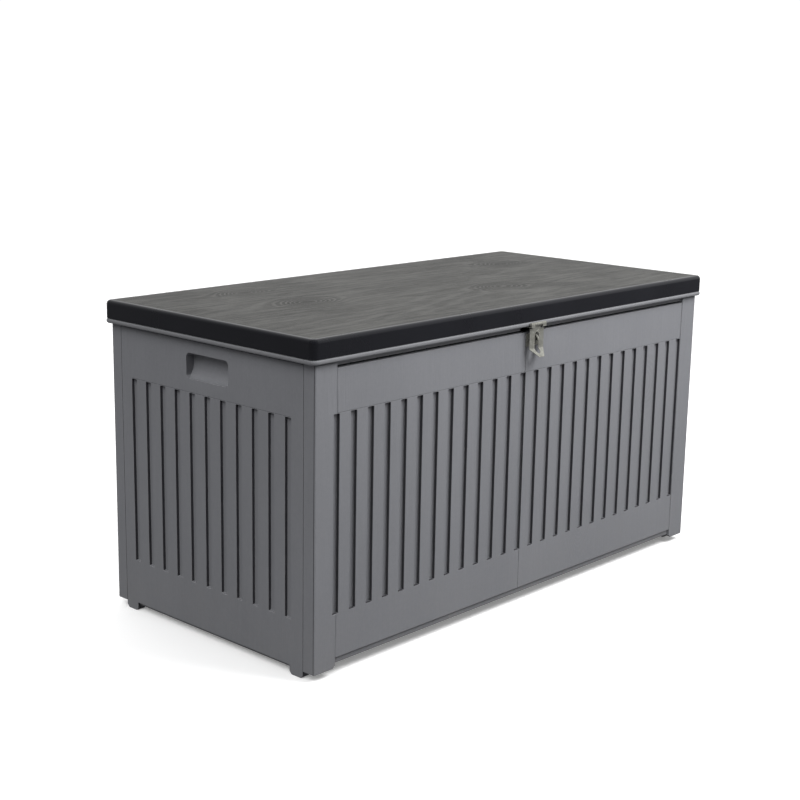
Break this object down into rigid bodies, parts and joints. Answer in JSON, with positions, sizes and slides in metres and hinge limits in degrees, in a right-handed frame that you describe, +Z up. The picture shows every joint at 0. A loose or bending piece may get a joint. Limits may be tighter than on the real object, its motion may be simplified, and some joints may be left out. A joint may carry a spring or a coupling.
{
  "type": "deck storage box",
  "caption": "Slatted outdoor storage box with corner posts, handle pockets, wood-grain hinged lid and a hasp and staple latch.",
  "frame": {"origin": "on the ground under the middle of the box", "axes": "+X along the front to the right, +Y from front to back, +Z up"},
  "size_m": [1.129, 0.5707, 0.5765],
  "materials": {
    "grey_body": "satin moulded",
    "grey_base": "satin moulded",
    "grey_rim": "satin moulded",
    "black_lid": "wood-grain texture on top, smooth skirt",
    "hasp_steel": "zinc plated",
    "hinge_steel": "zinc plated",
    "zinc": "zinc plated"
  },
  "bodies": {
    "box": {"front_panel_left": "grey_body", "front_panel_right": "grey_body", "back_panel_left": "grey_body", "back_panel_right": "grey_body", "side_panel_left": "grey_body", "side_panel_right": "grey_body", "base_tray": "grey_base", "corner_screws": "zinc", "seam_screws": "zinc", "tray_screws": "zinc", "hinge_left_body_leaf": "hinge_steel", "hinge_right_body_leaf": "hinge_steel", "hinge_left_pin": "hinge_steel", "hinge_right_pin": "hinge_steel", "hinge_body_screws": "zinc", "staple_plate": "hasp_steel", "staple_loop": "hasp_steel", "staple_screws": "zinc"},
    "lid": {"lid_shell": "black_lid", "lid_pan": "grey_rim", "lid_screws": "zinc", "hinge_left_lid_leaf": "hinge_steel", "hinge_right_lid_leaf": "hinge_steel", "hinge_lid_screws": "zinc", "hasp_bracket": "hasp_steel", "hasp_screws": "zinc", "hasp_pin": "hasp_steel"},
    "hasp": {"hasp_leaf": "hasp_steel"}
  },
  "joints": [
    {"name": "lid_hinge", "type": "hinge", "parent": "box", "child": "lid", "pos_m": [0, 0.278, 0.535], "axis": [-1, 0, 0], "range_deg": [0, 100]},
    {"name": "hasp_hinge", "type": "hinge", "parent": "lid", "child": "hasp", "pos_m": [0, -0.2758, 0.5392], "axis": [-1, 0, 0], "range_deg": [-6, 150]}
  ]
}
